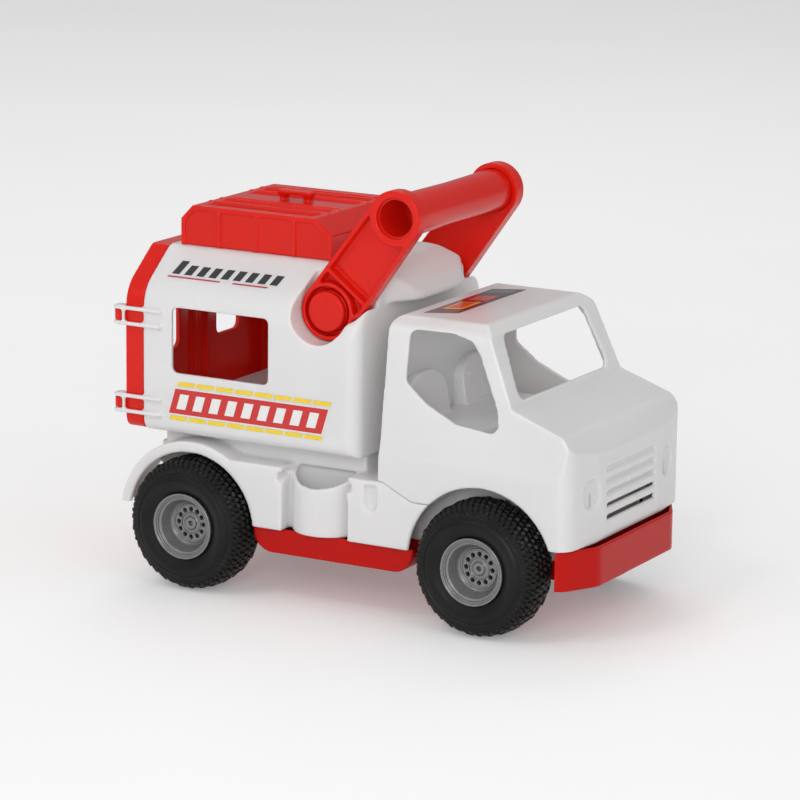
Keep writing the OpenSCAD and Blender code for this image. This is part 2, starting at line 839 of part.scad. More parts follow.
// Section of the body, in Y and Z, with soft shoulders and rounded lower corners.
module body_section() {
  ridge_z = shoulder_z + body_y * (roof_z - shoulder_z) / (body_y - roof_w / 2);
  rounded(body_edge_r) intersection() {
    rounded(shoulder_r) polygon([
      [-body_y, 0], [body_y, 0], [body_y, shoulder_z], [0, ridge_z], [-body_y, shoulder_z],
    ]);
    translate([-body_y, body_z]) square([body_w, roof_z - body_z]);
  }
}

// Plan of the body, in X and Y, shrunk by d all round but at its open rear.
module body_plan(d) {
  rounded(10) polygon([
    [body_rear_x - 40, d - body_y], [body_front_x - d, d - body_y], [body_front_x - d, body_y - d],
    [body_rear_x - 40, body_y - d],
  ]);
}

// Section of the body under the hood, in Y and Z: its sides slope up to a narrow crown.
module hood_section() {
  crown = hood_top_w / 2;
  rounded(body_edge_r) intersection() {
    rounded(shoulder_r - 3) polygon([
      [-body_y, 0], [body_y, 0], [body_y, hood_side_z], [crown, hood_top_z], [-crown, hood_top_z],
      [-body_y, hood_side_z],
    ]);
    translate([-body_y, body_z]) square([body_w, hood_top_z - body_z]);
  }
}

// Side outline of the hood and the body under it, in X and Z.
module hood_side_outline() {
  x1 = hood_front_x;
  top = hood_top_z;
  low = cab_top_z + 2;
  rounded(3) polygon([
    [hood_x - 30, 0], [hood_x - 30, top], [x1 - 28, top], [x1 - 21, top - 2], [x1 - 14, top - 8],
    [x1 - 7, top - 15], [x1 - 1, top - 23], [x1, low], [body_front_x, low], [body_front_x, 0],
  ]);
}

// Plan of the hood and the body under it, in X and Y.
module hood_plan() {
  x0 = hood_x - 30;
  x1 = body_front_x;
  nose = hood_top_w / 2 - 4;
  rounded(9) polygon([
    [x0, -body_y], [x1, -body_y], [x1, -nose - 23], [hood_front_x, -nose], [hood_front_x, nose],
    [x1, nose + 23], [x1, body_y], [x0, body_y],
  ]);
}

// The front of the body up to its hood, shrunk by d.
module hood(d) {
  intersection() {
    along_y(-body_y, body_y) offset(delta = -d) hood_side_outline();
    along_x(hood_x - 0.01, hood_front_x + 1) offset(delta = -d) hood_section();
    linear_extrude(height = 300) offset(delta = -d) hood_plan();
  }
}

// Space that a handle arm sweeps between its two stops, which the body leaves free, grown by d.
module pocket(d) {
  r = arm_low_r + pocket_gap + d;
  reach = 70;
  translate([pivot_x, 0, pivot_z]) along_y(pocket_y - d, body_y + 10) {
    circle(r = r, $fn = 96);
    rotate(-arm_lean) polygon([
      [0, 0], [r * cos(heel_a), r * sin(heel_a)], [r + heel_reach, heel_z - pocket_gap - d],
      [r + heel_reach, reach], [0, reach],
    ]);
    rotate(-arm_lean_back) translate([-r, 0]) square([r, reach]);
    polygon([
      [0, 0], [reach * sin(arm_lean_back), reach * cos(arm_lean_back)],
      [reach * sin(arm_lean), reach * cos(arm_lean)],
    ]);
  }
}

// Outline of the fork plate that carries a door barrel, in X and Y, on the left.
module fork_outline() {
  fork_r = barrel_r - 0.1;
  difference() {
    union() {
      translate([hinge_x, hinge_y]) circle(r = fork_r, $fn = 48);
      translate([hinge_x - fork_r, hinge_y]) square([2 * fork_r, body_y + fork_out - hinge_y - fork_r]);
      translate([hinge_x, body_y + fork_out - fork_r]) circle(r = fork_r, $fn = 48);
      translate([hinge_x, body_y - 1]) square([body_rear_x + fork_reach - hinge_x, fork_out + 1]);
    }
    // room for the door's rim
    translate([door_rear_x - 0.3, 0]) square([door_depth + 0.3, body_y]);
  }
}

// The two forks on the left side.
module forks() {
  step = (barrel_h + 2 * fork_gap + fork_t) / 2;
  for (z = hinge_heights) {
    for (s = [-step, step]) {
      difference() {
        translate([0, 0, z + s - fork_t / 2]) linear_extrude(height = fork_t) fork_outline();
        translate([hinge_x, hinge_y, z - 20]) cylinder(r = pin_r + seat_gap, h = 40);
      }
    }
    // upright web between the two plates
    block([door_rear_x - 1.2, body_y + 0.6, z - step], [door_rear_x + 0.8, body_y + fork_out, z + step]);
  }
}

// The body's outer form, shrunk by d but open at its rear.
module body_form(d) {
  intersection() {
    along_x(body_rear_x - (d > 0 ? 1 : 0), hood_x) offset(delta = -d) body_section();
    linear_extrude(height = 300) body_plan(d);
  }
  hood(d);
}

// Opening under the load floor, round the chassis platform.
module underfloor() {
  top = floor_z - body_wall;
  intersection() {
    body_form(body_wall);
    block([body_rear_x - 2, -body_y, 0], [body_front_x, body_y, top]);
  }
  half = platform_half_w + 3;
  block([body_rear_x - 2, -half, body_z - 1], [body_front_x - body_wall, half, top]);
}

module body() {
  color([0.88, 0.88, 0.88]) difference() {
    union() {
      difference() {
        body_form(0);
        for (side = [right, left]) on_side(side) pocket(0);
        difference() {
          intersection() {
            body_form(body_wall);
            block([body_rear_x - 2, -body_y, floor_z], [hood_front_x, body_y, hood_top_z]);
          }
          for (side = [right, left]) on_side(side) pocket(body_wall);
        }
        underfloor();
      }
      for (side = [right, left]) on_side(side) {
        forks();
        translate([pivot_x, 0, pivot_z]) bar_y(10, pocket_y - 9, arm_in_y - face_gap);
      }
      for (p = body_screw_places) {
        translate([p[0], p[1], body_boss_z + seat_gap])
          cylinder(r = body_boss_r, h = floor_z - body_wall - body_boss_z);
      }
    }
    for (side = [right, left]) on_side(side) {
      translate([pivot_x, 0, pivot_z]) bar_y(shank_r + run_gap, pocket_y - 20, arm_in_y + 1);
    }
    translate([window_x, 0, window_z])
      along_y(-100, 100) rounded(window_r) square([window_len, window_h]);
    for (p = body_screw_places) {
      translate([p[0], p[1], body_boss_z - 1]) cylinder(r = screw_r + seat_gap, h = 9);
    }
  }
}

// ---------- rear doors ----------

// Section of both doors together, in Y and Z.
module doors_section() {
  intersection() {
    offset(delta = -door_gap) body_section();
    translate([-100, body_z + 1]) square([200, 200]);
  }
}

// The left door, closed.
module door_shape() {
  reach = hinge_y - door_gap / 2;
  front_x = body_rear_x - door_gap;
  difference() {
    union() {
      intersection() {
        difference() {
          along_x(door_rear_x, front_x) doors_section();
          along_x(door_rear_x + door_wall, front_x + 1) offset(delta = -door_wall) doors_section();
        }
        block([door_rear_x - 1, door_gap / 2, 0], [front_x + 1, 100, 300]);
        // nothing reaches past the middle while the door swings
        translate([hinge_x, hinge_y, 0]) cylinder(r = reach, h = 300, $fn = 128);
      }
      // stiffening rib beside the meeting edge
      block([door_rear_x + 1, 6.4, body_z + 6], [door_rear_x + door_wall + 3, 8.4, roof_z - 8]);
      // frame round the window, outside
      along_x(door_rear_x - 1, door_rear_x + 1) rounded(door_window_r + 3)
        translate([door_window_in - 3.5, door_sill_z - 3.5])
        square([door_window_w + 7, door_window_h + 7]);
      // grip beside the meeting edge, outside
      block([door_rear_x - 5, 3, 124], [door_rear_x + 0.5, 5.4, 134]);
      for (z = hinge_heights) {
        translate([hinge_x, hinge_y, z - barrel_h / 2]) {
          cylinder(r = barrel_r, h = barrel_h);
          translate([0, -barrel_r, 0]) cube([barrel_r + 1, barrel_r * 1.2, barrel_h]);
        }
      }
    }
    along_x(door_rear_x - 5, front_x + 1) rounded(door_window_r)
      translate([door_window_in, door_sill_z]) square([door_window_w, door_window_h]);
    for (z = hinge_heights) {
      translate([hinge_x, hinge_y, z - barrel_h]) cylinder(r = pin_r + run_gap, h = 2 * barrel_h);
    }
  }
}

module door(side) {
  color([0.78, 0.09, 0.06]) on_side(side) door_shape();
}

module hinge_pins() {
  len = barrel_h + 2 * fork_gap + 2 * fork_t;
  color([0.8, 0.8, 0.8]) for (side = [right, left], z = hinge_heights) {
    translate([hinge_x, side * hinge_y, z - len / 2]) cylinder(r = pin_r, h = len);
  }
}

// ---------- roof cover ----------

// Side outline of the roof cover, in X and Z, shrunk by d.
module cover_outline(d) {
  x0 = cover_front_x - cover_len;
  z0 = roof_z + 0.1;
  z1 = z0 + cover_h;
  offset(delta = -d) polygon([
    [x0, z0 - 20], [x0, z1 - 9], [x0 + 8.5, z1], [cover_front_x - 13, z1],
    [cover_front_x, z1 - 10], [cover_front_x, z0 - 20],
  ]);
}

module roof_cover() {
  x0 = cover_front_x - cover_len;
  mid_x = x0 + cover_len / 2;
  z0 = roof_z + 0.1;
  z1 = z0 + cover_h;
  panel = 1.6;
  color([0.8, 0.1, 0.07]) difference() {
    union() {
      difference() {
        along_y(-cover_y, cover_y) cover_outline(0);
        // sunk side panels inside a raised edge
        for (side = [right, left]) on_side(side) {
          along_y(cover_y - panel, cover_y + 1) cover_outline(3);
        }
        // sunk top panels
        block([x0 + 15, -cover_y + 8, z1 - panel], [cover_front_x - 18, -9, z1 + 1]);
        block([x0 + 15, 9, z1 - panel], [cover_front_x - 18, cover_y - 8, z1 + 1]);
      }
      // upright ribs on the sides
      for (i = [1:cover_ribs], side = [right, left]) {
        x = x0 + i * cover_len / (cover_ribs + 1);
        on_side(side) block([x - 1.2, cover_y - panel - 1, z0], [x + 1.2, cover_y, z1 - 1]);
      }
      // ribs along the top
      for (y = [17, 30], side = [right, left]) {
        on_side(side) block([x0 + 10, y, z1 - panel - 1], [cover_front_x - 14, y + 2.4, z1 + 0.8]);
      }
      // lift knob: a bridge on two posts
      block([mid_x - 11, -3, z1 - 1], [mid_x - 7, 3, z1 + 5]);
      block([mid_x + 7, -3, z1 - 1], [mid_x + 11, 3, z1 + 5]);
      block([mid_x - 12.5, -4, z1 + 4], [mid_x + 12.5, 4, z1 + 7]);
    }
    along_y(cover_wall + panel - cover_y, cover_y - cover_wall - panel) cover_outline(cover_wall + panel);
    block([x0 - 1, -cover_y - 1, z0 - 21], [cover_front_x + 1, cover_y + 1, z0]);
  }
}

// ---------- handle ----------

// Places its children with the origin at the pivot and +Z along the stored handle's arms.
module along_arm() {
  translate([pivot_x, 0, pivot_z]) rotate([0, arm_lean, 0]) children();
}

// Outline of an arm, in its own X and Z, shrunk by d: two rounds joined by a band that has a
// heel at its front.
module arm_outline(d) {
  r0 = arm_low_r - d;
  r1 = ring_r - d;
  heel = [r0 + heel_reach, heel_z + d];
  back_inset = 0.05;
  front_a = atan2(heel[1] - arm_len, heel[0]) + acos(r1 / norm([heel[0], heel[1] - arm_len]));
  circle(r = r0, $fn = 96);
  translate([0, arm_len]) circle(r = r1, $fn = 96);
  polygon([
    [0, 0], [(r0 - 1) * cos(heel_a), (r0 - 1) * sin(heel_a)], heel,
    [r1 * cos(front_a), arm_len + r1 * sin(front_a)], [back_inset - r1, arm_len],
    [back_inset - r0, 0],
  ]);
}

module handle_arm(side) {
  rim_t = 2.6;
  rib_at = 20;
  color([0.82, 0.1, 0.07]) on_side(side) along_arm() difference() {
    union() {
      difference() {
        along_y(arm_in_y, arm_out_y) arm_outline(0);
        along_y(arm_in_y + arm_web, arm_out_y + 1) arm_outline(rim_t);
      }
      // lower boss, with a groove round the cap
      bar_y(cap_r + 0.4, arm_in_y, arm_out_y - 2.6);
      difference() {
        bar_y(arm_low_r, arm_in_y, arm_out_y);
        bar_y(arm_low_r - 2.4, arm_in_y + arm_web, arm_out_y + 1);
      }
      // upper ring
      translate([0, 0, arm_len]) bar_y(ring_r, arm_in_y, arm_out_y);
      // cross rib above the pivot
      block([-arm_low_r + 0.6, arm_in_y, rib_at], [arm_low_r - 0.6, arm_out_y - 0.6, rib_at + 2.4]);
    }
    bar_y(shank_r + seat_gap, arm_in_y - 1, arm_out_y + 1);
    // socket of the grip tube, with a stop ring inside
    translate([0, 0, arm_len]) {
      bar_y(grip_r + seat_gap, arm_in_y - 1, arm_out_y - 2.4);
      bar_y(grip_r - grip_wall + 1.2, arm_in_y - 1, arm_out_y + 1);
    }
  }
}

module handle_grip() {
  half = arm_out_y - 2.4;
  waist = grip_r - 0.7;
  color([0.84, 0.13, 0.09]) along_arm() translate([0, 0, arm_len]) {
    rotate([90, 0, 0]) rotate_extrude($fn = 96) polygon([
      [grip_r, -half], [grip_r, -arm_in_y], [waist, 0], [grip_r, arm_in_y], [grip_r, half],
      [grip_r - grip_wall, half], [grip_r - grip_wall - 0.5, 34], [0, 34], [0, 31.6],
      [waist - grip_wall, 31.6], [waist - grip_wall, -31.6], [0, -31.6], [0, -34],
      [grip_r - grip_wall - 0.5, -34], [grip_r - grip_wall, -half],
    ]);
  }
}

module pivot_cap(side) {
  cap_z = arm_out_y - 2.6;
  snap = pocket_y - 9 - face_gap;
  color([0.85, 0.15, 0.11]) on_side(side) translate([pivot_x, 0, pivot_z]) {
    rotate([-90, 0, 0]) rotate_extrude($fn = 96) polygon([
      [0, snap - 4], [shank_r - 1.4, snap - 4], [shank_r + 1, snap - 1.4], [shank_r + 1, snap],
      [shank_r, snap], [shank_r, cap_z + 0.02], [cap_r, cap_z + 0.02], [cap_r, cap_z + 3],
      [cap_r - 0.8, cap_z + 3.8], [0, cap_z + 4.4],
    ]);
  }
}

// ---------- assembly ----------

chassis();
underbody();
cab();
cab_seat();
body();
roof_cover();
door(right);  // door_right
door(left);  // door_left
hinge_pins();
handle_arm(right);  // handle_arm_right
handle_arm(left);  // handle_arm_left
handle_grip();
pivot_cap(right);  // pivot_cap_right
pivot_cap(left);  // pivot_cap_left
axle(front_axle_x);  // axle_front
axle(rear_axle_x);  // axle_rear
rim(right, front_axle_x);  // rim_front_right
rim(left, front_axle_x);  // rim_front_left
rim(right, rear_axle_x);  // rim_rear_right
rim(left, rear_axle_x);  // rim_rear_left
tyre(right, front_axle_x);  // tyre_front_right
tyre(left, front_axle_x);  // tyre_front_left
tyre(right, rear_axle_x);  // tyre_rear_right
tyre(left, rear_axle_x);  // tyre_rear_left
underbody_screws();
body_screws();
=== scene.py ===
"""Looks of the toy ambulance: moulded plastic skins, stickers, materials, light and camera."""
import json
import math

import bmesh
import bpy
from mathutils import Matrix, Vector

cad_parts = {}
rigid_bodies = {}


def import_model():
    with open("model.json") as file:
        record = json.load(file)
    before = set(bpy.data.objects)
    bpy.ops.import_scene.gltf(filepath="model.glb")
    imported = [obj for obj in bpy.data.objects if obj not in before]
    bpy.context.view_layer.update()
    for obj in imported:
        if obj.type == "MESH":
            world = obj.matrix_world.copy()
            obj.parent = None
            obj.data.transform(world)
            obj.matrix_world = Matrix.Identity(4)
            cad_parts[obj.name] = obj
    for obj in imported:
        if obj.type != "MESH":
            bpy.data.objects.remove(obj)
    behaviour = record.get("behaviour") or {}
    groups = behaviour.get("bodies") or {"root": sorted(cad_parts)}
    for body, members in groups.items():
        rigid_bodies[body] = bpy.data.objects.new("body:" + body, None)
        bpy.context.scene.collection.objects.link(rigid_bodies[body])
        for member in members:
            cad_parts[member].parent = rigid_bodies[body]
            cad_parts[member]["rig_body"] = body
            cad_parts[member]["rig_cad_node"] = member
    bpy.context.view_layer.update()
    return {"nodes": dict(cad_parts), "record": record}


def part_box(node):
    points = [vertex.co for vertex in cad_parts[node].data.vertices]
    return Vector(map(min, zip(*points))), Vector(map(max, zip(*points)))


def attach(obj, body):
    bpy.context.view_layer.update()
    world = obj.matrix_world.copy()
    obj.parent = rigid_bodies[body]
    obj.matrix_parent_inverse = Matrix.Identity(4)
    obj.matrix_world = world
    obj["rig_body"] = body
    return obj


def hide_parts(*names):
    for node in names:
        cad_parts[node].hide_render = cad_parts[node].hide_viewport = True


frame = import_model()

MM = 0.001
NODES = frame["nodes"]
BODIES = {n: b for b, names in frame["record"]["behaviour"]["bodies"].items() for n in names}
SLOTS = {s["node"]: s["material_slot"] for s in frame["record"]["subparts"]}
SIDES = ((-1, "right"), (1, "left"))
WHEELS = ("front_right", "front_left", "rear_right", "rear_left")


# ---------------------------------------------------------------- pieces and meshes

def new_object(name, data):
    """A new object of the scene that shows the data."""
    made = bpy.data.objects.new(name, data)
    bpy.context.scene.collection.objects.link(made)
    return made


def closed_mesh(name, points, faces):
    """A closed mesh whose faces all look outwards."""
    mesh = bpy.data.meshes.new(name)
    mesh.from_pydata(points, [], faces)
    shell = bmesh.new()
    shell.from_mesh(mesh)
    bmesh.ops.recalc_face_normals(shell, faces=shell.faces)
    shell.to_mesh(mesh)
    shell.free()
    return mesh


def prism(name, near, far):
    """A closed block between two outlines of as many points each."""
    count = len(near)
    faces = [tuple(range(count)), tuple(reversed(range(count, 2 * count)))]
    for i in range(count):
        j = (i + 1) % count
        faces.append((i, i + count, j + count, j))
    return closed_mesh(name, near + far, faces)


def shade_smoothly(mesh):
    """Shades every face of a mesh smoothly."""
    mesh.polygons.foreach_set("use_smooth", [True] * len(mesh.polygons))


def centre(node):
    """Middle of a CAD node's box."""
    low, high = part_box(node)
    return (Vector(low) + Vector(high)) / 2


# ---------------------------------------------------------------- materials

# Most of a noise lies between these values.
NOISE_RANGE = (0.3, 0.7)


class Material:
    """A material's node tree, with short calls for the nodes that this scene uses."""

    def __init__(self, name):
        self.data = bpy.data.materials.new(name)
        self.data.use_nodes = True
        self.tree = self.data.node_tree
        self.shader = self.tree.nodes["Principled BSDF"]
        self.place = self.node("ShaderNodeTexCoord").outputs["Object"]

    def node(self, kind, **settings):
        """Adds a node to the tree."""
        made = self.tree.nodes.new(kind)
        for key, value in settings.items():
            setattr(made, key, value)
        return made

    def link(self, source, target):
        """Joins one node's output to another node's input."""
        self.tree.links.new(source, target)

    def noise(self, scale, detail, stretch=(1, 1, 1)):
        """Noise in the object's own space: features per metre, and their stretch on each axis."""
        mapping = self.node("ShaderNodeMapping")
        mapping.inputs["Scale"].default_value = stretch
        self.link(self.place, mapping.inputs["Vector"])
        texture = self.node("ShaderNodeTexNoise")
        texture.inputs["Scale"].default_value = scale
        texture.inputs["Detail"].default_value = detail
        self.link(mapping.outputs["Vector"], texture.inputs["Vector"])
        return texture.outputs["Fac"]

    def colour(self, value, low, high):
        """Sets the base colour, between low and high as value goes."""
        ramp = self.node("ShaderNodeValToRGB")
        for stop, place, tone in zip(ramp.color_ramp.elements, NOISE_RANGE, (low, high)):
            stop.position = place
            stop.color = (*tone, 1)
        self.link(value, ramp.inputs["Fac"])
        self.link(ramp.outputs["Color"], self.shader.inputs["Base Color"])

    def spread(self, value, low, high, socket):
        """Sets a number of the shader, between low and high as value goes."""
        spread = self.node("ShaderNodeMapRange")
        spread.inputs["To Min"].default_value = low
        spread.inputs["To Max"].default_value = high
        self.link(value, spread.inputs["Value"])
        self.link(spread.outputs["Result"], self.shader.inputs[socket])

    def bump(self, height, strength, distance, below=None):
        """Sets a bump from a height map, laid over another normal if one is given."""
        bump = self.node("ShaderNodeBump")
        bump.inputs["Strength"].default_value = strength
        bump.inputs["Distance"].default_value = distance
        self.link(height, bump.inputs["Height"])
        if below is not None:
            self.link(below, bump.inputs["Normal"])
        self.link(bump.outputs["Normal"], self.shader.inputs["Normal"])
        return bump.outputs["Normal"]

    def sockets(self, **numbers):
        """Sets numbers that are the same all over the surface, by their sockets' names."""
        for socket, number in numbers.items():
            self.shader.inputs[socket.replace("_", " ")].default_value = number


def tinted(colour, factor):
    """The colour made lighter or darker by a factor."""
    return tuple(min(1.0, c * factor) for c in colour)


def moulded_plastic(name, colour, rough, gloss, glow=0.0, reach=(1.0, 0.85, 0.75), metal=0.0):
    """Injection-moulded plastic: faint flow marks in its colour and a fine satin grain.

    rough holds the least and the most roughness, and gloss the strength of its reflections. glow
    is the share of light that the wall lets in, and reach how far each colour of that light goes.
    """
    m = Material(name)
    flow = m.noise(scale=9, detail=3.0, stretch=(1, 1, 2.2))
    m.colour(flow, tinted(colour, 0.965), tinted(colour, 1.02))
    m.spread(m.noise(scale=60, detail=4.0), *rough, "Roughness")
    grain = m.bump(m.noise(scale=2600, detail=2.0), strength=0.10, distance=0.06 * MM)
    m.bump(m.noise(scale=28, detail=1.0), strength=0.12, distance=0.6 * MM, below=grain)
    m.sockets(Specular_IOR_Level=gloss, Subsurface_Weight=glow, Subsurface_Radius=reach,
              Subsurface_Scale=5 * MM, Metallic=metal)
    return m.data


def tyre_plastic(name):
    """Soft black plastic, a little dusty, with a fine dull grain."""
    m = Material(name)
    m.colour(m.noise(scale=45, detail=5.0), (0.005, 0.005, 0.0045), (0.011, 0.0105, 0.010))
    m.spread(m.noise(scale=140, detail=3.0), 0.28, 0.44, "Roughness")
    m.bump(m.noise(scale=1500, detail=3.0), strength=0.20, distance=0.1 * MM)
    m.sockets(Specular_IOR_Level=0.22)
    return m.data


def brushed_steel(name):
    """Zinc-plated steel with fine drawn lines along the axle."""
    m = Material(name)
    lines = m.noise(scale=900, detail=2.0, stretch=(1, 0.02, 1))
    m.colour(lines, (0.42, 0.42, 0.43), (0.62, 0.62, 0.63))
    m.spread(lines, 0.22, 0.42, "Roughness")
    m.bump(lines, strength=0.15, distance=0.05 * MM)
    m.sockets(Metallic=1.0)
    return m.data


def sticker_vinyl(name, colour):
    """Printed vinyl: a thin glossy film with a fine print grain."""
    m = Material(name)
    m.colour(m.noise(scale=700, detail=3.0), tinted(colour, 0.93), tinted(colour, 1.04))
    m.spread(m.noise(scale=90, detail=2.0), 0.18, 0.30, "Roughness")
    m.bump(m.noise(scale=400, detail=2.0), strength=0.06, distance=0.04 * MM)
    m.sockets(Coat_Weight=0.3)
    return m.data


RED_REACH = (1.0, 0.2, 0.1)
WHITE = moulded_plastic("white_plastic", (0.80, 0.79, 0.79), (0.20, 0.30), gloss=0.45, glow=0.50)
RED = moulded_plastic("red_plastic", (0.74, 0.012, 0.005), (0.14, 0.22), gloss=0.26, glow=0.50,
                      reach=RED_REACH)
DEEP_RED = moulded_plastic("deep_red_plastic", (0.54, 0.006, 0.003), (0.20, 0.30), gloss=0.15,
                           glow=0.20, reach=RED_REACH)
GREY = moulded_plastic("grey_plastic", (0.235, 0.235, 0.24), (0.22, 0.32), gloss=0.50, metal=0.45)
BLACK = tyre_plastic("tyre_plastic")
STEEL = brushed_steel("axle_steel")
FINISH = {
    "white_shell": WHITE, "red": RED, "deep_red": DEEP_RED, "rim_grey": GREY, "tyre": BLACK,
    "steel": STEEL,
}


def finish(piece, node):
    """Gives a piece the material of a CAD node's slot."""
    piece.data.materials.clear()
    piece.data.materials.append(FINISH[SLOTS[node]])


def dress(piece, node):
    """Puts a piece in a CAD node's place: its material and body, and hides the CAD node."""
    finish(piece, node)
    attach(piece, BODIES[node])
    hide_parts(node)


for cad_node, cad_piece in NODES.items():
    finish(cad_piece, cad_node)


# ---------------------------------------------------------------- moulded skins

# Sections (y, z) of the corner beside a cup and of the wall under it, and the stretches of x that
# they fill, in mm.
CORNER_SLOPE = ((79.8, 78.1), (60, 88), (59, 84), (76, 73), (79.8, 73))
CORNER_WALL = ((79.6, 74), (79.6, 87.8), (58, 87.8), (58, 74))
CUP_CORNERS = (
    (-46.8, -42.6, CORNER_SLOPE), (4.2, 7.8, CORNER_SLOPE),
    (-48.4, -46.2, CORNER_WALL), (7.4, 9, CORNER_WALL),
)

# Where the seat's places along x and z go, as (before, after) in mm.
SEAT_X_STOPS = ((33, 28.1), (49.5, 40), (88, 88))
SEAT_Z_STOPS = ((0, 0), (118, 118), (168, 152))

HOOD_REAR_X = -10 * MM
HOOD_FOOT_Z = 176 * MM
HOOD_SPINE_HALF = 24 * MM
HOOD_PASSES = 60


def apply_modifiers(piece):
    """Turns a piece's modifiers into plain mesh."""
    graph = bpy.context.evaluated_depsgraph_get()
    mesh = bpy.data.meshes.new_from_object(piece.evaluated_get(graph))
    piece.modifiers.clear()
    piece.data = mesh


def relax(piece, passes):
    """Adds a modifier that smooths a piece by some passes."""
    modifier = piece.modifiers.new("relax", "SMOOTH")
    modifier.factor = 0.5
    modifier.iterations = passes
    return modifier


def close_cup_corners(chassis):
    """Adds the sloped corners that close the skirt's edge in front of and behind each cup."""
    shell = bmesh.new()
    shell.from_mesh(chassis.data)
    for side, _ in SIDES:
        for x0, x1, section in CUP_CORNERS:
            ends = [[(x * MM, side * y * MM, z * MM) for y, z in section] for x in (x0, x1)]
            shell.from_mesh(prism("cup_corner", *ends))
    shell.to_mesh(chassis.data)
    shell.free()


def on_hood(point):
    """Whether a point of the body is on its hood, to the left or right of the spine."""
    return point.x > HOOD_REAR_X and point.z > HOOD_FOOT_Z and abs(point.y) > HOOD_SPINE_HALF


def soften_hood(body):
    """Lets the slopes of the body's hood run softly into each other."""
    group = body.vertex_groups.new(name="soft")
    group.add([v.index for v in body.data.vertices if on_hood(v.co)], 1.0, "REPLACE")
    relax(body, HOOD_PASSES).vertex_group = "soft"
    apply_modifiers(body)


def carried(value, stops):
    """value moved as the stops (before, after) say, evenly between them and not past the last."""
    for (a, low), (b, high) in zip(stops, stops[1:]):
        if value <= b:
            return low + (value - a) * (high - low) / (b - a)
    return value


def settle_seat(seat):
    """Sets the seat against the cab's rear wall and brings its backrests to the photo's height."""
    for v in seat.data.vertices:
        v.co.x = MM * carried(v.co.x / MM, SEAT_X_STOPS)
        v.co.z = MM * carried(v.co.z / MM, SEAT_Z_STOPS)


BEFORE_REMESH = {"chassis": close_cup_corners}
AFTER_REMESH = {"body": soften_hood, "cab_seat": settle_seat}

# The voxel's size in mm and the smoothing passes of each skin.
SKINS = {
    "body": (0.8, 4),
    "cab": (0.8, 3),
    "chassis": (0.9, 3),
    "underbody": (0.9, 3),
    "roof_cover": (0.7, 3),
    "cab_seat": (1.0, 3),
    "door_right": (0.7, 3),
    "door_left": (0.7, 3),
    "handle_arm_right": (0.6, 3),
    "handle_arm_left": (0.6, 3),
    "pivot_cap_right": (0.5, 3),
    "pivot_cap_left": (0.5, 3),
    **{"rim_" + wheel: (0.4, 1) for wheel in WHEELS},
}


def moulded_skin(node, voxel, passes):
    """A copy of a CAD node with every edge rounded over, as a mould leaves it."""
    piece = NODES[node].copy()
    piece.data = NODES[node].data.copy()
    piece.parent = None
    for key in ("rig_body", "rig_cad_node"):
        if key in piece:
            del piece[key]
    piece.name = node + "_skin"
    bpy.context.scene.collection.objects.link(piece)
    if node in BEFORE_REMESH:
        BEFORE_REMESH[node](piece)
    remesh = piece.modifiers.new("skin", "REMESH")
    remesh.mode = "VOXEL"
    remesh.voxel_size = voxel
    relax(piece, passes)
    apply_modifiers(piece)
    if node in AFTER_REMESH:
        AFTER_REMESH[node](piece)
    shade_smoothly(piece.data)
    dress(piece, node)


for skin_node, (skin_voxel, skin_passes) in SKINS.items():
    moulded_skin(skin_node, skin_voxel * MM, skin_passes)


# ---------------------------------------------------------------- tyres

TYRE_R = 43 * MM
TREAD_FOOT_R = 34.6 * MM
TREAD_HALF = 16.0 * MM
TREAD_DEPTH = 1.7 * MM
CROWN_BOW = 2.5

KNOBS = 64
KNOB_STEPS = 6
KNOB_KINDS = 5
KNOB_DROP = 0.12
ROWS = 10
ROW_STEPS = 5
ROW_SHIFT = 2

# Points of a sidewall from the bead out to the tread, as (radius, distance from the middle) in mm.
SIDEWALL = (
    (20.7, 14.0), (21.3, 15.2), (22.2, 15.6), (23.6, 16.0), (25.2, 16.8), (27.2, 17.6),
    (29.4, 17.9), (31.2, 17.5), (32.3, 16.7), (32.7, 16.6), (33.0, 17.1), (33.5, 17.3),
    (33.9, 17.1), (34.0, 16.5), (34.2, 16.2),
)


def crown_radius(h):
    """Radius of the tread's rounded crown at a distance h from the tyre's middle."""
    rise = (1 - min(1.0, abs(h) / TREAD_HALF) ** CROWN_BOW) ** (1 / CROWN_BOW)
    return TREAD_FOOT_R + (TYRE_R - TREAD_FOOT_R) * rise


def sidewall_line(side):
    """Points of one sidewall, as (radius, distance from the middle, no row, no place)."""
    return [(r * MM, side * h * MM, None, None) for r, h in SIDEWALL]


def tread_line():
    """Points across the tread, as (radius, distance from the middle, row, place in the row)."""
    total = ROWS * ROW_STEPS
    line = []
    for i in range(total + 1):
        h = TREAD_HALF * math.cos(math.pi * (i / total))
        line.append((crown_radius(h), h, i // ROW_STEPS, i % ROW_STEPS))
    return line


def knob_height(row, place, step):
    """How far the tread stands up at a step round the tyre: 0 in a groove and up to 1 on a knob.

    The rows are staggered, and the knobs differ in length and height in a fixed uneven order.
    """
    knob, part = divmod(step + ROW_SHIFT * (row % 3), KNOB_STEPS)
    kind = (knob % KNOBS * 7 + row * 11) % KNOB_KINDS
    length = KNOB_STEPS - 2 if kind < 3 else KNOB_STEPS - 1
    is_knob = 0 < place < ROW_STEPS and part < length
    return 1.0 - KNOB_DROP * kind if is_knob else 0.0


def groove_depth(r, row, place, step):
    """How deep the tread is cut at a point of its crown: the grooves run out at its foot."""
    return TREAD_DEPTH * (1 - knob_height(row, place, step)) * min(1.0, (r - TREAD_FOOT_R) / MM)


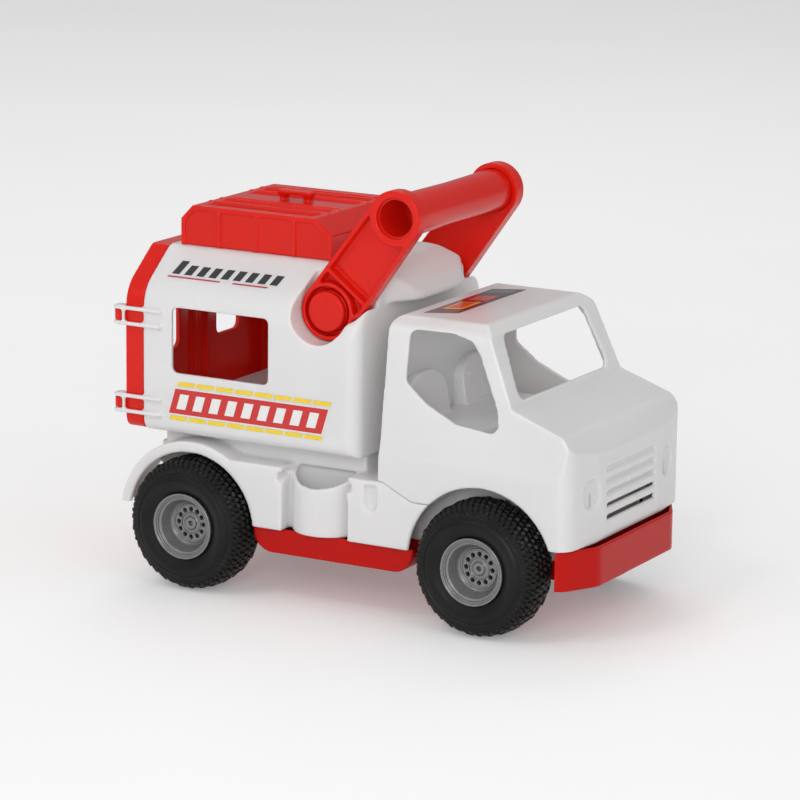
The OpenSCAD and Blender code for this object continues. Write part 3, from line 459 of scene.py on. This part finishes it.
def tyre_mesh(name):
    """A moulded tyre that lies round the Y axis, with staggered rows of small knobs."""
    around = KNOBS * KNOB_STEPS
    ring = sidewall_line(1) + tread_line() + sidewall_line(-1)[::-1]
    count = len(ring)
    points, faces = [], []
    for step in range(around):
        angle = math.tau * step / around
        a, b = step * count, (step + 1) % around * count
        for i, (r, h, row, place) in enumerate(ring):
            if row is not None:
                r -= groove_depth(r, row, place, step)
            points.append((r * math.cos(angle), h, r * math.sin(angle)))
            j = (i + 1) % count
            faces.append((a + i, a + j, b + j, b + i))
    mesh = bpy.data.meshes.new(name)
    mesh.from_pydata(points, [], faces)
    return mesh


def shade_sidewalls(mesh):
    """Shades the sidewalls smoothly and leaves the knobs' faces crisp."""
    for face in mesh.polygons:
        face.use_smooth = all(
            math.hypot(mesh.vertices[i].co.x, mesh.vertices[i].co.z) < TREAD_FOOT_R
            for i in face.vertices)


def tyres():
    """The four tyres, alike."""
    mesh = tyre_mesh("moulded_tyre")
    shade_sidewalls(mesh)
    for wheel in WHEELS:
        node = "tyre_" + wheel
        piece = new_object(node + "_knobs", mesh.copy())
        piece.location = centre(node)
        dress(piece, node)


# ---------------------------------------------------------------- hub trim

# Height of a wheel's disc over the wheel's middle, in mm.
DISC_H = 6.3
LATHE_STEPS = 72

# Rings on a wheel's disc and lip, and a black ring behind the disc that paints shade into its
# holes, with profiles (radius, height over the disc) in mm.
HUB_TRIM = {
    "hub_boss": (GREY, ((1.5, -1.6), (1.5, 0.5), (1.9, 0.75), (3.6, 0.75), (4.1, 0.45),
                        (4.3, -0.7), (3.0, -0.9))),
    "hub_bead": (GREY, ((6.5, -0.5), (6.6, 0.35), (7.0, 0.55), (7.35, 0.3), (7.4, -0.2))),
    "disc_bead": (GREY, ((11.3, -0.2), (11.4, 0.5), (11.9, 0.8), (12.5, 0.75), (12.9, 0.3),
                         (13.1, -0.2))),
    "lip_bead": (GREY, ((19.1, 10.0), (19.15, 10.8), (19.45, 11.1), (19.8, 10.9), (19.9, 10.0))),
    # Painted shade: a black ring behind the disc's holes that makes them look dark.
    "painted_hole_shade": (BLACK, ((7.2, -4.4), (7.2, -3.5), (11.4, -3.5), (11.4, -4.4))),
}


def lathe(name, profile):
    """A closed ring turned round the Y axis from (radius, distance outwards) points in mm."""
    points, faces = [], []
    count = len(profile)
    for step in range(LATHE_STEPS):
        angle = math.tau * step / LATHE_STEPS
        a, b = step * count, (step + 1) % LATHE_STEPS * count
        for i, (r, h) in enumerate(profile):
            points.append((r * MM * math.cos(angle), h * MM, r * MM * math.sin(angle)))
            j = (i + 1) % count
            faces.append((a + i, b + i, b + j, a + j))
    mesh = closed_mesh(name, points, faces)
    shade_smoothly(mesh)
    return mesh


def hub_trim(wheel):
    """Raised beads on a wheel's disc and lip, and a black ring behind its holes as painted shade.
    """
    out = -1 if wheel.endswith("right") else 1
    for tag, (material, profile) in HUB_TRIM.items():
        ring = lathe(tag, [(r, out * (DISC_H + h)) for r, h in profile])
        ring.materials.append(material)
        piece = new_object(f"{tag}_{wheel}", ring)
        piece.location = centre("tyre_" + wheel)
        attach(piece, BODIES["rim_" + wheel])


# ---------------------------------------------------------------- stickers

STICKER_RED = sticker_vinyl("sticker_red", (0.62, 0.015, 0.012))
STICKER_WHITE = sticker_vinyl("sticker_white", (0.86, 0.86, 0.85))
STICKER_YELLOW = sticker_vinyl("sticker_yellow", (0.90, 0.66, 0.02))
STICKER_BLACK = sticker_vinyl("sticker_black", (0.030, 0.030, 0.033))
STICKER_PINK = sticker_vinyl("sticker_rose", (0.55, 0.055, 0.10))
STICKER_PLUM = sticker_vinyl("sticker_plum", (0.060, 0.028, 0.036))
STICKER_WINE = sticker_vinyl("sticker_wine", (0.24, 0.022, 0.042))
STICKER_ORANGE = sticker_vinyl("sticker_orange", (0.75, 0.115, 0.03))
STICKER_SMOKE = sticker_vinyl("sticker_smoke", (0.17, 0.165, 0.18))

FILM = 0.12 * MM
FILM_ROOT = -0.25 * MM

BODY_SIDE_Y = 82.5 * MM
SHOULDER_FOOT = Vector((0, BODY_SIDE_Y, 191 * MM))
SHOULDER_TOP = Vector((0, 51 * MM, 216 * MM))
CAB_ROOF_Z = 191 * MM
DECK_Z = 88 * MM

# Middles of the stickers along the truck, about which the left side's are turned.
SIDE_STICKER_X = -65.7 * MM
SHOULDER_STICKER_X = -94 * MM

# Fields of the roof sticker in mm: name, x, y, slant of the ends, layer and colour.
ROOF_FIELDS = (
    ("roof_band", (41, 60), (-50, 50), 10, 0, STICKER_PLUM),
    ("roof_field", (43.2, 57.8), (-38, 24), 8, 1, STICKER_WINE),
    ("roof_end", (43.2, 57.8), (27, 44), 8, 1, STICKER_SMOKE),
    ("roof_frame", (45.2, 55.8), (-33, -3), 5.8, 2, STICKER_YELLOW),
    ("roof_fill", (46.6, 54.4), (-30.5, -5.5), 4.3, 3, STICKER_ORANGE),
    ("roof_block", (45.2, 55.8), (1, 19), 5.8, 2, STICKER_ORANGE),
    ("roof_mark", (48.0, 53.0), (5, 15), 2.7, 3, STICKER_PINK),
)


def film(name, outline, place, layer, material):
    """A thin cut film that lies over a number of layers.

    Its outline is in (u, v) in mm, and place turns (u, v, height) in metres into a point.
    """
    ends = [[place(u * MM, v * MM, h) for u, v in outline]
            for h in (FILM_ROOT, (layer + 1) * FILM)]
    mesh = prism(name, *ends)
    mesh.materials.append(material)
    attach(new_object(name, mesh), "truck")


def slanted(u, v, width, height, slant):
    """A parallelogram whose top is shifted by slant, from its lower rear corner."""
    return [(u, v), (u + width, v), (u + width + slant, v + height), (u + slant, v + height)]


def reading_way(side, u, middle):
    """u along the truck, turned about a sticker's middle so that both sides read alike."""
    return u if side < 0 else 2 * middle - u


def on_body_side(side):
    """Places (x, z, height) on the flat side of the body."""
    def place(u, v, h):
        return (reading_way(side, u, SIDE_STICKER_X), side * (BODY_SIDE_Y + h), v)

    return place


def on_shoulder(side):
    """Places (x, distance up the slope, height) on the slope between the body's side and roof."""
    up = (SHOULDER_TOP - SHOULDER_FOOT).normalized()
    out = Vector((0, up.z, -up.y))

    def place(u, v, h):
        point = SHOULDER_FOOT + up * v + out * h
        return (reading_way(side, u, SHOULDER_STICKER_X), side * point.y, point.z)

    return place


def on_deck(side):
    """Places (x, distance from the middle, height) on the chassis's deck."""
    def place(u, v, h):
        return (u, side * v, DECK_Z + h)

    return place


def on_cab_roof(u, v, h):
    """Places (x, y, height) on the cab's flat roof."""
    return (u, v, CAB_ROOF_Z + h)


def side_sticker(side, tag):
    """The red panel with a row of plain white bars, between two rows of yellow dashes."""
    place = on_body_side(side)
    bars, bar_start, bar_pitch = 9, -118.5, 11.9
    dashes, dash_start, dash_pitch = 8, -122.5, 14.2
    dash_rows = ((132.2, 4.6), (109.8, -1.6))
    edge = slanted(-125, 113.3, width=113.6, height=17.6, slant=4.9)
    panel = slanted(-124.2, 114.0, width=112, height=16.2, slant=4.9)
    film("panel_edge_" + tag, edge, place, 0, STICKER_WHITE)
    film("panel_" + tag, panel, place, 1, STICKER_RED)
    for i in range(bars):
        bar = slanted(bar_start + i * bar_pitch, 117.2, width=6.6, height=9.8, slant=3.0)
        film(f"bar_{tag}_{i}", bar, place, 2, STICKER_WHITE)
    for i in range(dashes):
        for row, (v, shift) in enumerate(dash_rows):
            u = dash_start + i * dash_pitch + shift
            dash = slanted(u, v, width=12.6, height=2.7, slant=0.8)
            film(f"dash_{tag}_{row}_{i}", dash, place, 0, STICKER_YELLOW)


def shoulder_sticker(side, tag):
    """A row of plain black slanted strokes, the first one taller, over two red lines."""
    place = on_shoulder(side)
    strokes, stroke_start, stroke_pitch = 9, -130, 9.0
    lines = ((-132, -93.5), (-84, -58.5))
    for i in range(strokes):
        tall = 11.2 if i == 0 else 8.2
        stroke = slanted(stroke_start + i * stroke_pitch, 16.2, width=5.4, height=tall,
                         slant=0.24 * tall)
        film(f"stroke_{tag}_{i}", stroke, place, 0, STICKER_BLACK)
    for i, (start, end) in enumerate(lines):
        line = slanted(start, 13.2, width=end - start, height=1.2, slant=0.3)
        film(f"line_{tag}_{i}", line, place, 0, STICKER_PINK)


def roof_sticker():
    """The dark slanted band on the cab's roof, with plain coloured fields."""
    for name, (x0, x1), (y0, y1), cut, layer, material in ROOF_FIELDS:
        outline = [(x0, y0), (x1, y0 + cut), (x1, y1), (x0, y1 - cut)]
        film(name, outline, on_cab_roof, layer, material)


def painted_slot_shades():
    """Black films on the deck behind the cups: painted shade of the narrow slots there."""
    for side, tag in SIDES:
        # Painted shade: a black film where the slot's gap lies in shade.
        slot = slanted(-34.5, 53, width=32, height=1.4, slant=0)
        film("painted_slot_shade_" + tag, slot, on_deck(side), 0, BLACK)


# ---------------------------------------------------------------- floor, light, camera

FLOOR_HALF = 4
FLOOR_TONES = (0.89, 0.91)
FLOOR_LIFT = 0.20

# The sky's strength away from the camera's side and on it, and the way to that side.
SKY_STRENGTHS = (0.30, 0.66)
CAMERA_SIDE = (0.45, -0.85, 0.27)

# Area lamps: name, place, size in metres and power in watts.
LAMPS = (
    ("key", (-0.9, -1.9, 1.5), 1.0, 3),
    ("front", (0.9, -2.1, 0.9), 0.8, 13),
    ("fill", (1.9, -1.2, 1.3), 1.4, 4),
    ("back", (-0.8, 1.4, 2.2), 1.4, 10),
    ("glint", (-0.5, -1.5, 2.3), 0.35, 4),
)
LAMP_AIM = Vector((0, 0, 0.12))

CAMERA_PLACE = (1.1346, -2.0321, 0.6476)
CAMERA_AZIMUTH, CAMERA_ELEVATION, CAMERA_ROLL = (math.radians(a) for a in (29.24, 12.74, 0.69))
CAMERA_LENS = 168.96
CAMERA_SENSOR = 36


def soft_sky(tree):
    """An even white light from all round, a little stronger from the camera's side."""
    place = tree.nodes.new("ShaderNodeTexCoord")
    toward = tree.nodes.new("ShaderNodeVectorMath")
    toward.operation = "DOT_PRODUCT"
    toward.inputs[1].default_value = CAMERA_SIDE
    strength = tree.nodes.new("ShaderNodeMapRange")
    strength.inputs["From Min"].default_value = -1
    strength.inputs["To Min"].default_value = SKY_STRENGTHS[0]
    strength.inputs["To Max"].default_value = SKY_STRENGTHS[1]
    tree.links.new(place.outputs["Generated"], toward.inputs[0])
    tree.links.new(toward.outputs["Value"], strength.inputs["Value"])
    tree.links.new(strength.outputs["Result"], tree.nodes["Background"].inputs["Strength"])
    tree.nodes["Background"].inputs["Color"].default_value = (1, 1, 1, 1)


def seen_white(m, strength):
    """Lifts a stage material towards white for the eye and for reflections, not as a light."""
    path = m.node("ShaderNodeLightPath")
    seen = path.outputs["Is Camera Ray"]
    for ray in ("Is Glossy Ray", "Is Transmission Ray"):
        either = m.node("ShaderNodeMath", operation="MAXIMUM")
        m.link(seen, either.inputs[0])
        m.link(path.outputs[ray], either.inputs[1])
        seen = either.outputs["Value"]
    m.spread(seen, 0, strength, "Emission Strength")
    m.sockets(Emission_Color=(1, 1, 1, 1))


def floor():
    """A pale floor that runs far behind the truck."""
    corners = [(x * FLOOR_HALF, y * FLOOR_HALF, 0) for x, y in ((-1, -1), (1, -1), (1, 1), (-1, 1))]
    mesh = bpy.data.meshes.new("floor")
    mesh.from_pydata(corners, [], [(0, 1, 2, 3)])
    m = Material("floor_paper")
    low, high = ((tone,) * 3 for tone in FLOOR_TONES)
    m.colour(m.noise(scale=3, detail=2.0), low, high)
    m.sockets(Roughness=0.9)
    seen_white(m, FLOOR_LIFT)
    mesh.materials.append(m.data)
    new_object("floor", mesh)


def light():
    """Soft plain light from the sky and from area lamps."""
    world = bpy.data.worlds.new("studio")
    world.use_nodes = True
    soft_sky(world.node_tree)
    bpy.context.scene.world = world
    for name, place, size, power in LAMPS:
        lamp = bpy.data.lights.new(name, "AREA")
        lamp.size = size
        lamp.energy = power
        holder = new_object(name, lamp)
        holder.location = place
        holder.rotation_mode = "QUATERNION"
        holder.rotation_quaternion = (LAMP_AIM - Vector(place)).to_track_quat("-Z", "Y")


def camera():
    """The photograph's camera, worked out from the corners of the display box."""
    azimuth, elevation, roll = CAMERA_AZIMUTH, CAMERA_ELEVATION, CAMERA_ROLL
    back = Vector((math.sin(azimuth) * math.cos(elevation),
                   -math.cos(azimuth) * math.cos(elevation), math.sin(elevation)))
    flat = Vector((math.cos(azimuth), math.sin(azimuth), 0))
    rise = back.cross(flat)
    across = flat * math.cos(roll) + rise * math.sin(roll)
    up = rise * math.cos(roll) - flat * math.sin(roll)
    lens = bpy.data.cameras.new("photo_camera")
    lens.lens = CAMERA_LENS
    lens.sensor_width = CAMERA_SENSOR
    lens.clip_start = 0.05
    lens.clip_end = 50
    holder = new_object("photo_camera", lens)
    turn = Matrix((across, up, back)).transposed().to_4x4()
    holder.matrix_world = Matrix.Translation(CAMERA_PLACE) @ turn
    bpy.context.scene.camera = holder


# ---------------------------------------------------------------- the scene

tyres()
for each_wheel in WHEELS:
    hub_trim(each_wheel)
for each_side, side_tag in SIDES:
    side_sticker(each_side, side_tag)
    shoulder_sticker(each_side, side_tag)
roof_sticker()
painted_slot_shades()
floor()
light()
camera()
bpy.context.scene.view_settings.view_transform = "Standard"
